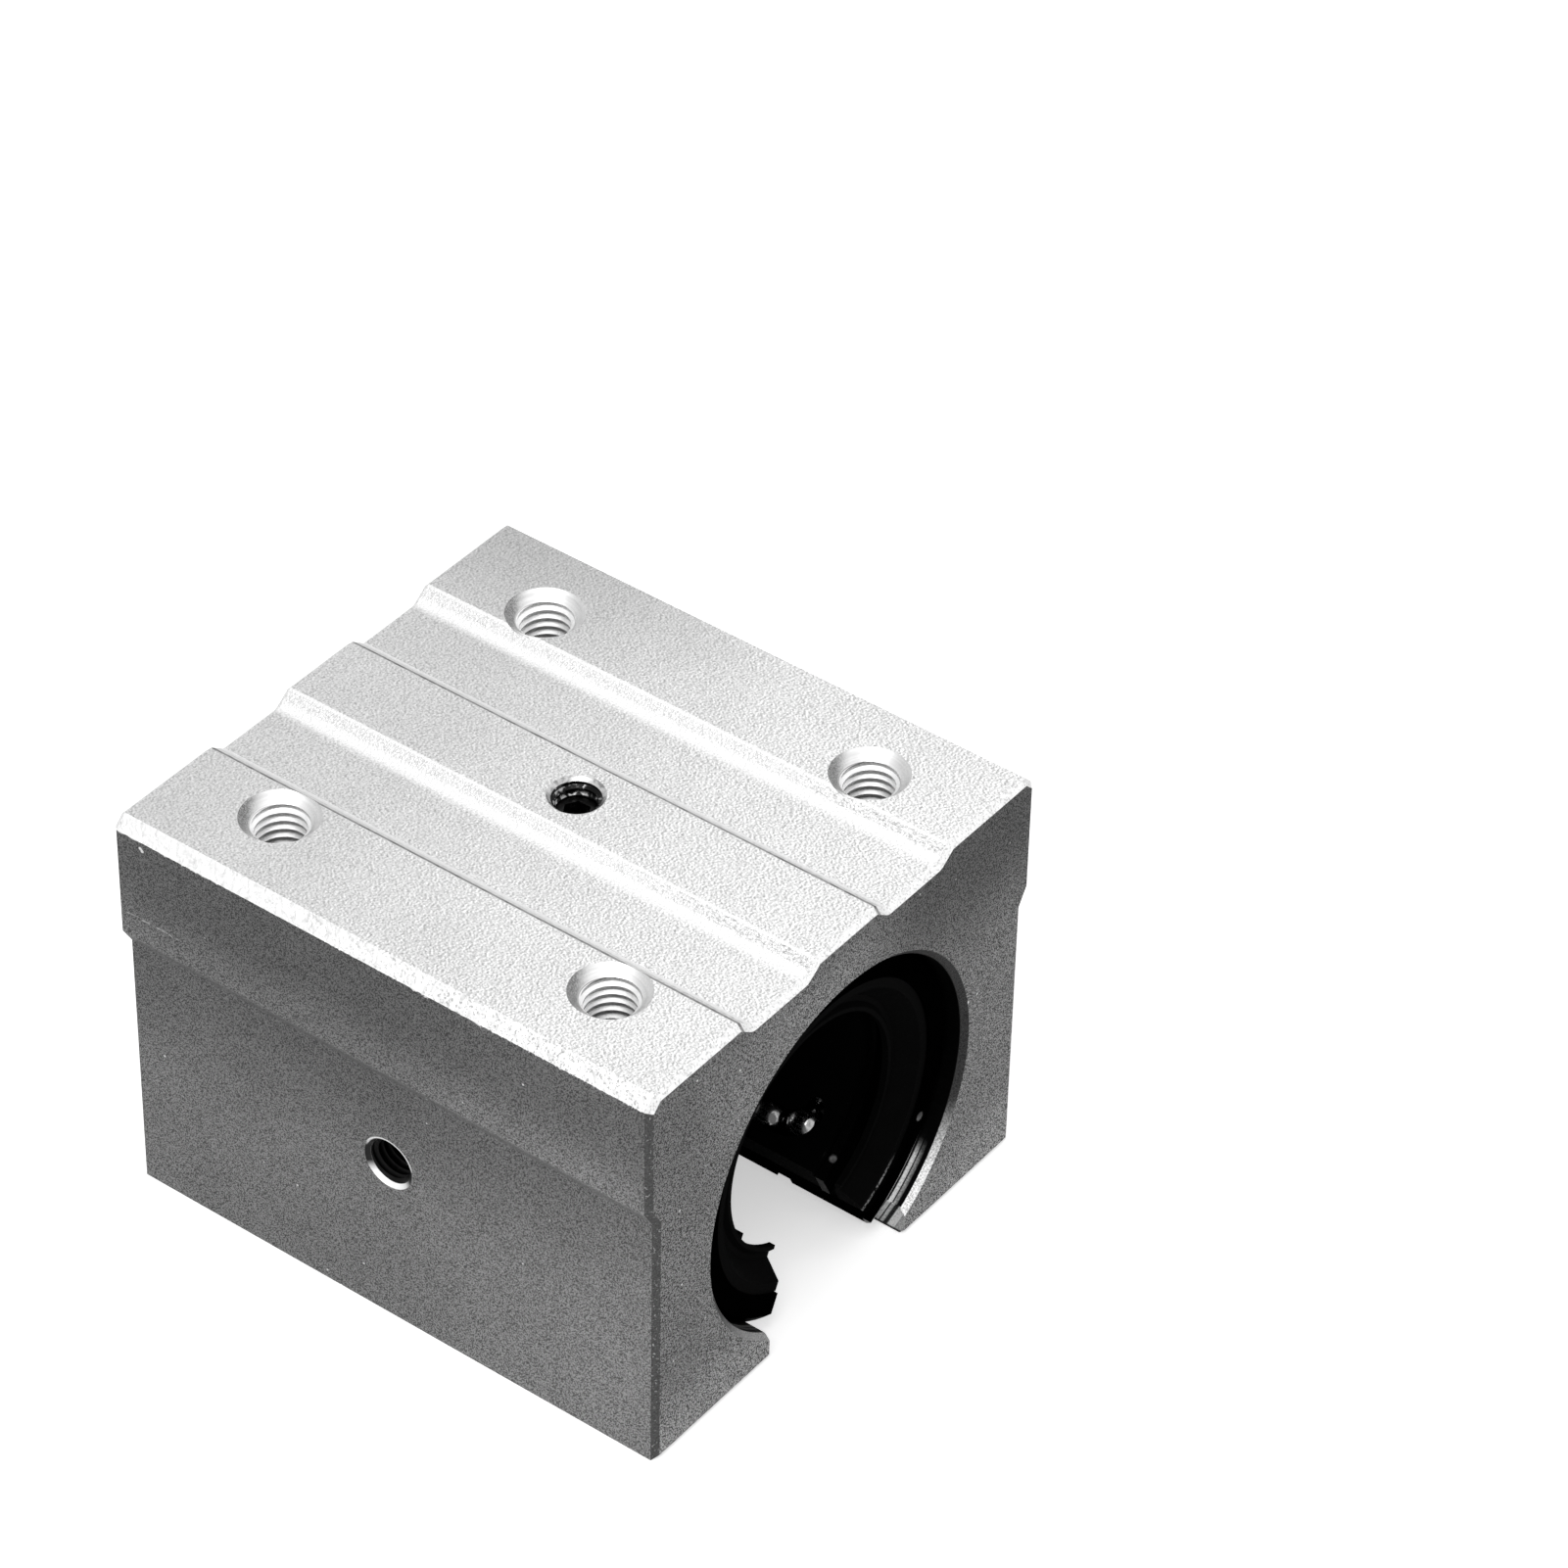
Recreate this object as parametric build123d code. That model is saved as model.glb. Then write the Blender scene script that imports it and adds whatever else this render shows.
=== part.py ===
from build123d import *
import math
import os

# Open linear bearing block for a 25 mm shaft: an extruded aluminium housing that holds an open ball
# bush. Millimetres. The bore runs along X, Z points up, and the origin is the centre of the underside.

# Housing outline
housing_width = 60.0
housing_length = 65.0
housing_height = 47.0
bore_height = 20.0
flange_height = 14.0
lower_inset = 1.2
flange_slope_drop = 2.0
long_edge_chamfer = 1.3
end_edge_break = 0.6
jaw_gap = 22.0
jaw_edge_radius = 0.5

# Two shallow grooves between three lands on the top face
centre_land_width = 9.2
groove_floor_width = 8.0
groove_slope_width = 1.85
groove_depth = 1.35
groove_edge_extra_radius = 0.2

# Bores and tapped holes of the housing
shaft_diameter = 25.0
bush_diameter = 40.0
bush_fit_clearance = 0.02
mouth_chamfer = 0.65
thread_diameter = 6.0
tapped_depth = 12.0
drill_tip_angle = 118.0
countersink_diameter = 8.0
bolt_spacing_along = 40.0
bolt_spacing_across = 40.0

# Set screws and their holes
screw_diameter = 5.0
screw_hole_chamfer = 0.4
screw_thread_clearance = 0.03
screw_length = 5.0
screw_point_gap = 0.05
screw_end_chamfer = 0.5
hex_across_flats = 2.5
hex_depth = 2.6
cup_diameter = 2.5
cup_depth = 0.7

# Outer sleeve of the bush
bush_length = 61.0
opening_half_angle = 25.0
sleeve_end_chamfer = 0.8
ring_groove_diameter = 38.0
ring_groove_width = 1.85
ring_groove_span = 41.0
race_clearance = 0.02
seal_seat_depth = 3.6
seal_seat_radius = 16.9

# Balls and their loops
ball_diameter = 3.969
running_clearance = 0.02
ball_gap = 0.06
circuit_count = 5
load_row_inset_angle = 13.5
row_separation_angle = 22.0
turn_ball_angle = 45.0
return_row_lift = 1.2
track_clearance = 0.1

# Retainer, side rings and end seals
retainer_shaft_gap = 0.5
retainer_race_gap = 0.15
retainer_end_margin = 1.0
part_gap = 0.1
ring_to_seat_wall = 0.7
side_ring_thickness = 1.0
side_ring_width = 3.0
side_ring_groove_depth = 0.6
seal_recess = 0.3
seal_back_gap = 0.3
seal_rim_width = 1.1
seal_web_radius = 14.0
seal_lip_depth = 1.5
seal_lip_length = 0.7
seal_lip_height = 0.9
seal_lip_step = 0.45

# Sizes that follow from the ones above
axis_to_top = housing_height - bore_height
axis_to_side = housing_width / 2 - lower_inset
groove_edge_radius = end_edge_break + groove_edge_extra_radius
bore_radius = bush_diameter / 2
sleeve_radius = bore_radius - bush_fit_clearance
shaft_clear_radius = shaft_diameter / 2 + running_clearance
ball_radius = ball_diameter / 2
load_row_radius = shaft_clear_radius + ball_radius
return_row_radius = load_row_radius + return_row_lift
race_radius = load_row_radius + ball_radius + race_clearance
track_radius = ball_radius + track_clearance
retainer_inner_radius = shaft_clear_radius + retainer_shaft_gap
retainer_outer_radius = race_radius - retainer_race_gap
bottom_angle = -90.0
top_angle = 90.0
opening_start_angle = bottom_angle + opening_half_angle
opening_arc = 360.0 - 2 * opening_half_angle
first_circuit_angle = opening_start_angle + load_row_inset_angle + row_separation_angle / 2
circuit_spacing_angle = 2 * (top_angle - first_circuit_angle) / (circuit_count - 1)
thread_radius = thread_diameter / 2
screw_radius = screw_diameter / 2
screw_hole_overrun = screw_radius
seal_seat_x = bush_length / 2 - seal_seat_depth
side_ring_outer_x = seal_seat_x - ring_to_seat_wall - part_gap
side_ring_inner_x = side_ring_outer_x - side_ring_thickness
retainer_half_length = side_ring_inner_x - part_gap
bore_axis = Axis((0, 0, bore_height), (1, 0, 0))


def radial_point(radius, angle):
    """Point of the cross-section at a radius and an angle from +Y, about the bore's axis."""
    turn = math.radians(angle)
    return radius * math.cos(turn), bore_height + radius * math.sin(turn)


def loop_sizes():
    """Turn radius, straight length, balls in a row, their pitch and the lead of the first ball.

    The straights are as long as the retainer allows, and the balls of a row are spread over them.
    """
    load = radial_point(load_row_radius, -row_separation_angle / 2)
    back = radial_point(return_row_radius, row_separation_angle / 2)
    turn_radius = math.dist(load, back) / 2
    closest = ball_diameter + ball_gap
    step_across = turn_radius * (1 - math.cos(math.radians(turn_ball_angle)))
    step_along = turn_radius * math.sin(math.radians(turn_ball_angle))
    lead = math.sqrt(closest**2 - step_across**2) - step_along
    straight = 2 * (retainer_half_length - retainer_end_margin - turn_radius - track_radius)
    count = math.floor((straight - 2 * lead) / closest) + 1
    pitch = (straight - 2 * lead) / (count - 1)
    return turn_radius, straight, count, pitch, lead


turn_radius, row_straight, balls_per_row, ball_pitch, row_lead = loop_sizes()


def circuit_plane(number):
    """Plane of one ball loop: local x along the bore, local y from the load row to the return row.

    The load row lies on the side of the loop that is nearer the opening.
    """
    middle = first_circuit_angle + circuit_spacing_angle * (number - 1)
    load_side = 1 if middle > top_angle else -1
    half_turn = load_side * row_separation_angle / 2
    load_y, load_z = radial_point(load_row_radius, middle + half_turn)
    back_y, back_z = radial_point(return_row_radius, middle - half_turn)
    centre = Vector(0, (load_y + back_y) / 2, (load_z + back_z) / 2)
    across = Vector(0, back_y - load_y, back_z - load_z).normalized()
    return Plane(origin=centre, x_dir=(1, 0, 0), z_dir=Vector(1, 0, 0).cross(across))


def open_ring(points):
    """Solid of a profile of (x, radius) points turned about the bore, open at the bottom."""
    turn = math.radians(opening_start_angle)
    start = Plane(
        origin=(0, 0, bore_height),
        x_dir=(1, 0, 0),
        z_dir=(0, -math.sin(turn), math.cos(turn)),
    )
    profile = start * make_face(Polyline(*points, close=True))
    return revolve(profile, axis=bore_axis, revolution_arc=opening_arc)


def mirrored_outline(right_side):
    """Closed outline from the points of its right half, mirrored about the middle."""
    left_side = [(-across, up) for across, up in reversed(right_side)]
    return Polyline(*right_side, *left_side, close=True)


def housing_section():
    """Outer section of the extrusion, with its flange, edge chamfers and top grooves."""
    top = housing_height
    half = housing_width / 2
    slope_start = centre_land_width / 2
    floor_start = slope_start + groove_slope_width
    floor_end = floor_start + groove_floor_width
    land_start = floor_end + groove_slope_width
    flange_low = top - flange_height
    section = make_face(
        mirrored_outline(
            [
                (slope_start, top),
                (floor_start, top - groove_depth),
                (floor_end, top - groove_depth),
                (land_start, top),
                (half - long_edge_chamfer, top),
                (half, top - long_edge_chamfer),
                (half, flange_low),
                (axis_to_side, flange_low - flange_slope_drop),
                (axis_to_side, 0),
            ]
        )
    )
    groove_corners = [
        corner
        for corner in section.vertices()
        if abs(corner.X) < land_start + long_edge_chamfer and corner.Y > flange_low
    ]
    return fillet(groove_corners, groove_edge_radius)


def bore_section():
    """Section of the bore and the gap between the jaws, with the jaws' tips rounded."""
    bore = Pos(0, bore_height) * Circle(bore_radius)
    gap = Pos(0, bore_height / 2) * Rectangle(jaw_gap, bore_height)
    opening = bore + gap
    tips = [
        corner
        for corner in opening.vertices()
        if abs(abs(corner.X) - jaw_gap / 2) < jaw_edge_radius and corner.Y > jaw_edge_radius
    ]
    return fillet(tips, jaw_edge_radius)


def mouth_cutter(side):
    """Cone that chamfers the bore's mouth at one end face."""
    cone = Cone(bore_radius + 2 * mouth_chamfer, bore_radius, 2 * mouth_chamfer)
    seat = Plane(
        origin=(side * housing_length / 2, 0, bore_height), x_dir=(0, 1, 0), z_dir=(-side, 0, 0)
    )
    return seat * cone


def tapped_hole_cutter():
    """Blind tapped hole seen from its mouth at z = 0: countersink, bore and drill tip."""
    mouth = countersink_diameter / 2
    sink = mouth - thread_radius
    tip = thread_radius / math.tan(math.radians(drill_tip_angle / 2))
    profile = Polyline(
        (0, sink),
        (mouth + sink, sink),
        (thread_radius, -sink),
        (thread_radius, -tapped_depth),
        (0, -tapped_depth - tip),
        close=True,
    )
    return revolve(Plane.XZ * make_face(profile), axis=Axis.Z)


def screw_hole_cutter(length):
    """Set screw hole seen from its mouth at z = 0, with a small chamfer."""
    mouth = screw_radius + screw_hole_chamfer
    profile = Polyline(
        (0, screw_hole_chamfer),
        (mouth + screw_hole_chamfer, screw_hole_chamfer),
        (screw_radius, -screw_hole_chamfer),
        (screw_radius, -length),
        (0, -length),
        close=True,
    )
    return revolve(Plane.XZ * make_face(profile), axis=Axis.Z)


top_mouth = Plane(origin=(0, 0, housing_height))
side_mouth = Plane(origin=(0, -axis_to_side, bore_height), x_dir=(1, 0, 0), z_dir=(0, -1, 0))


def make_housing():
    """Extruded block with its bore, jaws, four tapped holes and two set screw holes."""
    start = Plane.YZ.offset(-housing_length / 2)
    block = extrude(start * housing_section(), housing_length)
    end_edges = [
        edge
        for face in block.faces().filter_by(Axis.X)
        for edge in face.outer_wire().edges()
    ]
    block = chamfer(end_edges, end_edge_break)
    block -= extrude(start * bore_section(), housing_length)
    block -= [mouth_cutter(side) for side in (-1, 1)]
    for place in GridLocations(bolt_spacing_along, bolt_spacing_across, 2, 2):
        block -= top_mouth * place * tapped_hole_cutter()
    block -= top_mouth * screw_hole_cutter(axis_to_top - bore_radius + screw_hole_overrun)
    block -= side_mouth * screw_hole_cutter(axis_to_side - bore_radius + screw_hole_overrun)
    return block


def make_set_screw():
    """Hexagon socket set screw with a cup point, its point at z = 0 and its socket up."""
    radius = screw_radius - screw_thread_clearance
    cup = cup_diameter / 2
    point = cup + cup_depth / 2
    profile = Polyline(
        (0, cup_depth),
        (cup, 0),
        (point, 0),
        (radius, radius - point),
        (radius, screw_length - screw_end_chamfer),
        (radius - screw_end_chamfer, screw_length),
        (0, screw_length),
        close=True,
    )
    body = revolve(Plane.XZ * make_face(profile), axis=Axis.Z)
    corner_radius = hex_across_flats / 2 / math.cos(math.radians(30))
    socket = extrude(Pos(0, 0, screw_length) * RegularPolygon(corner_radius, 6), -hex_depth)
    return body - socket


def make_top_screw():
    """Set screw above the bush, its point just clear of the sleeve."""
    return Pos(0, 0, bore_height + sleeve_radius + screw_point_gap) * make_set_screw()


def make_side_screw():
    """Set screw in the housing's side, its point just clear of the sleeve."""
    reach = sleeve_radius + screw_point_gap
    seat = Plane(origin=(0, -reach, bore_height), x_dir=(1, 0, 0), z_dir=(0, -1, 0))
    return seat * make_set_screw()


def track_void(plane, radius):
    """Space swept by a ball of the given radius round its whole loop."""
    half = row_straight / 2
    path = (
        Line((-half, -turn_radius), (half, -turn_radius))
        + RadiusArc((half, -turn_radius), (half, turn_radius), -turn_radius)
        + Line((half, turn_radius), (-half, turn_radius))
        + RadiusArc((-half, turn_radius), (-half, -turn_radius), -turn_radius)
    )
    section = Plane(origin=(0, -turn_radius, 0), z_dir=(1, 0, 0)) * Circle(radius)
    return plane * sweep(section, path=Wire(path.edges()))


def make_sleeve():
    """Hardened outer sleeve: ball race, seal seats, side ring grooves and outer ring grooves."""
    half = bush_length / 2
    groove_out = ring_groove_span / 2
    groove_in = groove_out - ring_groove_width
    ring_in = side_ring_inner_x - part_gap
    ring_out = side_ring_outer_x + part_gap
    ring_radius = race_radius + side_ring_groove_depth
    outer = [
        (half, sleeve_radius - sleeve_end_chamfer),
        (half - sleeve_end_chamfer, sleeve_radius),
        (groove_out, sleeve_radius),
        (groove_out, ring_groove_diameter / 2),
        (groove_in, ring_groove_diameter / 2),
        (groove_in, sleeve_radius),
    ]
    inner = [
        (ring_in, race_radius),
        (ring_in, ring_radius),
        (ring_out, ring_radius),
        (ring_out, race_radius),
        (seal_seat_x, race_radius),
        (seal_seat_x, seal_seat_radius),
        (half, seal_seat_radius),
    ]
    right_half = inner + outer
    left_half = [(-x, radius) for x, radius in reversed(right_half)]
    sleeve = open_ring(right_half + left_half)
    for number in range(1, circuit_count + 1):
        sleeve -= track_void(circuit_plane(number), track_radius)
    return sleeve


def make_retainer():
    """Moulded retainer: a tube with one closed ball track for each loop, open inwards on the load row."""
    half = retainer_half_length
    retainer = open_ring(
        [
            (-half, retainer_inner_radius),
            (half, retainer_inner_radius),
            (half, retainer_outer_radius),
            (-half, retainer_outer_radius),
        ]
    )
    for number in range(1, circuit_count + 1):
        retainer -= track_void(circuit_plane(number), track_radius)
    return retainer


def ball_places():
    """Ball centres in the plane of a loop: two straight rows and two balls in each turn."""
    row_start = row_lead - row_straight / 2
    along = [row_start + index * ball_pitch for index in range(balls_per_row)]
    rows = [(x, side * turn_radius) for side in (-1, 1) for x in along]
    turn_along = turn_radius * math.sin(math.radians(turn_ball_angle))
    turn_across = turn_radius * math.cos(math.radians(turn_ball_angle))
    turns = [
        (end * (row_straight / 2 + turn_along), side * turn_across)
        for end in (-1, 1)
        for side in (-1, 1)
    ]
    return rows + turns


def make_ball_circuit(number):
    """Balls of one loop, load row, return row and turns."""
    plane = circuit_plane(number)
    balls = [plane * Pos(x, y, 0) * Sphere(ball_radius) for x, y in ball_places()]
    return Compound(children=balls)


def make_side_ring(side):
    """Flat open ring that keeps the retainer in the sleeve."""
    inner = side * side_ring_inner_x
    outer = side * side_ring_outer_x
    outer_radius = race_radius + side_ring_groove_depth - part_gap
    inner_radius = outer_radius - side_ring_width
    return open_ring(
        [
            (inner, inner_radius),
            (outer, inner_radius),
            (outer, outer_radius),
            (inner, outer_radius),
        ]
    )


def make_end_seal(side):
    """Open rubber seal: a rim in the sleeve's seat, a funnel to a thin web, and a lip at the shaft."""
    inner = seal_seat_x + seal_back_gap
    outer = bush_length / 2 - seal_recess
    rim = seal_seat_radius - part_gap
    lip_out = outer - seal_lip_depth
    lip_root = shaft_clear_radius + seal_lip_height
    web_out = lip_out - seal_lip_step
    web_in = inner + seal_lip_step
    points = [
        (inner, seal_web_radius + seal_lip_height),
        (inner, rim),
        (outer, rim),
        (outer, rim - seal_rim_width),
        (web_out, seal_web_radius),
        (web_out, lip_root),
        (lip_out, shaft_clear_radius + seal_lip_step),
        (lip_out, shaft_clear_radius),
        (lip_out - seal_lip_length, shaft_clear_radius),
        (web_in, lip_root),
        (web_in, seal_web_radius),
    ]
    return open_ring([(side * x, radius) for x, radius in points])


def make_parts():
    """Every node of the block by its name."""
    parts = {
        "housing": make_housing(),
        "bush_sleeve": make_sleeve(),
        "ball_retainer": make_retainer(),
        "top_set_screw": make_top_screw(),
        "side_set_screw": make_side_screw(),
    }
    for number in range(1, circuit_count + 1):
        parts[f"ball_circuit_{number}"] = make_ball_circuit(number)
    for name, side in (("front", 1), ("rear", -1)):
        parts[f"side_ring_{name}"] = make_side_ring(side)
        parts[f"end_seal_{name}"] = make_end_seal(side)
    return parts


os.makedirs("parts", exist_ok=True)
for node, shape in make_parts().items():
    export_step(shape, f"parts/{node}.step")
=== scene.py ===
import logging
import math
from dataclasses import dataclass, field
from enum import Enum

import bmesh
import bpy
from mathutils import Euler, Matrix, Vector


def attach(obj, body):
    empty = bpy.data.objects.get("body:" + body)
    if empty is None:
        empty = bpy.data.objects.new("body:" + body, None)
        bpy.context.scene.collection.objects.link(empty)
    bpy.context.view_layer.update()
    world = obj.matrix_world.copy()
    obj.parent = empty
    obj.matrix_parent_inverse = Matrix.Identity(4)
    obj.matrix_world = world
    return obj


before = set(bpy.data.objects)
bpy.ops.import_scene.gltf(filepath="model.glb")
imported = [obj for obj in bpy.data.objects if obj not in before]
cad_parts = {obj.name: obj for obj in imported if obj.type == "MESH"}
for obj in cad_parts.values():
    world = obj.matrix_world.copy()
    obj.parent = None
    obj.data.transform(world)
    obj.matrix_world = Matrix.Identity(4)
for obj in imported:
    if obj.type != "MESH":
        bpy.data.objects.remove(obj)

LOG = logging.getLogger("bearing_block")
# A millimetre in metres.
MM = 0.001
# How far a mask reaches past its surface, in millimetres.
MARGIN = 0.03
# Turn of the noise against the block's faces, in radians.
NOISE_TURN = (0.46, 0.71, 0.23)
# Refraction of the film of oil on plastic and rubber.
FILM_IOR = 1.08


class HoleKind(Enum):
    """What a threaded hole of the housing is for."""

    MOUNTING = "mounting"
    TOP_LOCK = "top"
    SIDE_LOCK = "side"


class Field:
    """A number that a material works out at each point of a surface."""

    def __init__(self, sheet: "NodeSheet", socket: bpy.types.NodeSocket) -> None:
        """Wraps an output socket of the material's node sheet."""
        self.sheet = sheet
        self.socket = socket

    def _math(self, operation: str, *others: "Field | float") -> "Field":
        """Adds one Math node.

        Args:
            operation: the node's operation.
            others: its further inputs.

        Returns:
            The node's result.
        """
        node = self.sheet.tree.nodes.new("ShaderNodeMath")
        node.operation = operation
        for place, value in enumerate((self, *others)):
            self.sheet.feed(node.inputs[place], value)
        return Field(self.sheet, node.outputs[0])

    def __add__(self, other: "Field | float") -> "Field":
        """Sum."""
        return self._math("ADD", other)

    def __sub__(self, other: "Field | float") -> "Field":
        """Difference."""
        return self._math("SUBTRACT", other)

    def __mul__(self, other: "Field | float") -> "Field":
        """Product."""
        return self._math("MULTIPLY", other)

    def size(self) -> "Field":
        """Value without its sign."""
        return self._math("ABSOLUTE")

    def sign(self) -> "Field":
        """1 for a positive value, -1 for a negative one."""
        return self._math("SIGN")

    def most(self, other: "Field | float") -> "Field":
        """Larger of the two."""
        return self._math("MAXIMUM", other)

    def root(self) -> "Field":
        """Square root."""
        return self._math("SQRT")

    def inverse(self) -> "Field":
        """1 less the value."""
        return self * -1.0 + 1.0

    def rise(self, start: float, end: float) -> "Field":
        """Smooth step from 0 to 1.

        Args:
            start: value where the step starts.
            end: value where it is complete; below start for a falling step.

        Returns:
            The step.
        """
        node = self.sheet.tree.nodes.new("ShaderNodeMapRange")
        node.interpolation_type = "SMOOTHSTEP"
        low, high = min(start, end), max(start, end)
        self.sheet.feed(node.inputs["Value"], self)
        node.inputs["From Min"].default_value = low
        node.inputs["From Max"].default_value = high
        node.inputs["To Min"].default_value = 0.0 if start < end else 1.0
        node.inputs["To Max"].default_value = 1.0 if start < end else 0.0
        return Field(self.sheet, node.outputs["Result"])

    def band(self, start: float, full: float, fade: float, end: float) -> "Field":
        """Mask that is complete from full to fade, and 0 below start and above end."""
        return self.rise(start, full) * self.rise(end, fade)

    def towards(self, other: "Field | float", share: "Field | float") -> "Field":
        """Mix of this value and another.

        Args:
            other: the value at a share of 1.
            share: how much of the other one shows.

        Returns:
            The mix.
        """
        node = self.sheet.tree.nodes.new("ShaderNodeMix")
        self.sheet.feed(node.inputs[0], share)
        self.sheet.feed(node.inputs[2], self)
        self.sheet.feed(node.inputs[3], other)
        return Field(self.sheet, node.outputs[0])


class NodeSheet:
    """One material with the coordinates that its patterns follow, in millimetres."""

    def __init__(self, name: str, metallic: float) -> None:
        """Makes the material.

        Args:
            name: the material's name.
            metallic: 1 for bare metal, 0 for anything else.
        """
        self.material = bpy.data.materials.new(name)
        self.material.use_nodes = True
        self.tree = self.material.node_tree
        self.shader = self.tree.nodes["Principled BSDF"]
        self.shader.inputs["Metallic"].default_value = metallic
        coordinates = self.tree.nodes.new("ShaderNodeTexCoord")
        scaled = self.tree.nodes.new("ShaderNodeVectorMath")
        scaled.operation = "SCALE"
        scaled.inputs["Scale"].default_value = 1 / MM
        self.tree.links.new(coordinates.outputs["Object"], scaled.inputs[0])
        self.place = scaled.outputs[0]
        self.x, self.y, self.z = self._split(self.place)
        self.facing_x, self.facing_y, self.facing_z = self._split(coordinates.outputs["Normal"])

    def _split(self, vector: bpy.types.NodeSocket) -> "list[Field]":
        """Splits a vector into its three parts.

        Args:
            vector: the socket that gives the vector.

        Returns:
            The parts along X, Y and Z.
        """
        node = self.tree.nodes.new("ShaderNodeSeparateXYZ")
        self.tree.links.new(vector, node.inputs[0])
        return [Field(self, output) for output in node.outputs]

    def feed(self, socket: bpy.types.NodeSocket, value: "Field | float") -> None:
        """Links a field to a socket, or writes a number on it.

        Args:
            socket: the input socket.
            value: the field or the number.
        """
        if isinstance(value, Field):
            self.tree.links.new(value.socket, socket)
        else:
            socket.default_value = value

    def stretched(
        self, scale: "tuple[float, float, float]", shift: "tuple[float, float, float]"
    ) -> bpy.types.NodeSocket:
        """Coordinates moved, then scaled on each axis, and turned where the factors are equal.

        The turn keeps flat faces from lying along the noise's own cells, where it is weak.

        Args:
            scale: factor on each axis.
            shift: how far the coordinates are moved, in millimetres.

        Returns:
            The socket that gives the coordinates.
        """
        moved = self.tree.nodes.new("ShaderNodeVectorMath")
        moved.inputs[1].default_value = shift
        self.tree.links.new(self.place, moved.inputs[0])
        node = self.tree.nodes.new("ShaderNodeMapping")
        node.inputs["Scale"].default_value = scale
        if len(set(scale)) == 1:
            node.inputs["Rotation"].default_value = NOISE_TURN
        self.tree.links.new(moved.outputs[0], node.inputs["Vector"])
        return node.outputs[0]

    def noise(
        self,
        per_mm: float,
        detail: float = 2.0,
        distortion: float = 0.0,
        scale: "tuple[float, float, float]" = (1.0, 1.0, 1.0),
        shift: "tuple[float, float, float]" = (0.0, 0.0, 0.0),
    ) -> Field:
        """Cloudy noise between 0 and 1.

        Args:
            per_mm: patches in each millimetre.
            detail: octaves of finer noise.
            distortion: how far the patches are bent.
            scale: factor on each axis, for noise that is drawn out.
            shift: how far the noise is moved, in millimetres.

        Returns:
            The noise.
        """
        node = self.tree.nodes.new("ShaderNodeTexNoise")
        node.inputs["Scale"].default_value = per_mm
        node.inputs["Detail"].default_value = detail
        node.inputs["Distortion"].default_value = distortion
        self.tree.links.new(self.stretched(scale, shift), node.inputs["Vector"])
        return Field(self, node.outputs[0])

    def embossed(self, per_mm: float, step: float) -> Field:
        """Noise shaded as if light fell on its slopes along X, taken over a step in millimetres."""
        return self.noise(per_mm, 2.0) - self.noise(per_mm, 2.0, shift=(step, step * 0.3, 0.0))

    def specks(self, per_mm: float, radius: float) -> Field:
        """Small round spots, 1 inside a spot.

        Args:
            per_mm: cells in each millimetre, with one spot in each cell.
            radius: the spot's radius as a share of its cell.

        Returns:
            The mask.
        """
        node = self.tree.nodes.new("ShaderNodeTexVoronoi")
        node.inputs["Scale"].default_value = per_mm
        self.tree.links.new(self.place, node.inputs["Vector"])
        return Field(self, node.outputs["Distance"]).rise(radius, radius / 2)

    def near(self, point: "tuple[float, float, float]", radius: float) -> Field:
        """Mask of a small spot.

        Args:
            point: the spot's middle.
            radius: its radius, where the mask reaches 0.

        Returns:
            The mask.
        """
        node = self.tree.nodes.new("ShaderNodeVectorMath")
        node.operation = "DISTANCE"
        node.inputs[1].default_value = point
        self.tree.links.new(self.place, node.inputs[0])
        return Field(self, node.outputs["Value"]).rise(radius, radius * 0.6)

    def distance(self, first: Field, second: Field) -> Field:
        """Length of the vector with these two parts."""
        return (first * first + second * second).root()

    def colour(self, value: Field, tint: "tuple[float, float, float]" = (1.0, 1.0, 1.0)) -> None:
        """Sends a grey value to the base colour.

        Args:
            value: the grey.
            tint: factor on red, green and blue.
        """
        node = self.tree.nodes.new("ShaderNodeCombineColor")
        for socket, factor in zip(node.inputs, tint):
            self.feed(socket, value if factor == 1.0 else value * factor)
        self.tree.links.new(node.outputs[0], self.shader.inputs["Base Color"])

    def roughness(self, value: Field) -> None:
        """Sends a value to the roughness."""
        self.feed(self.shader.inputs["Roughness"], value)

    def gloss(self, level: float) -> None:
        """Sets how strongly a surface that isn't bare metal mirrors its surroundings."""
        self.shader.inputs["Specular IOR Level"].default_value = level
        self.shader.inputs["IOR"].default_value = FILM_IOR

    def oily(self, tint: float) -> None:
        """Darkens what a bare metal mirrors at a low angle."""
        self.shader.inputs["Specular Tint"].default_value = (tint, tint, tint, 1.0)

    def relief(self, height: Field, depth_mm: float, strength: float = 1.0) -> None:
        """Gives the surface a fine relief.

        Args:
            height: the relief's height between 0 and 1.
            depth_mm: what a height of 1 stands for.
            strength: how much of the relief shows.
        """
        node = self.tree.nodes.new("ShaderNodeBump")
        node.inputs["Strength"].default_value = strength
        node.inputs["Distance"].default_value = depth_mm * MM
        self.feed(node.inputs["Height"], height)
        self.tree.links.new(node.outputs[0], self.shader.inputs["Normal"])


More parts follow.
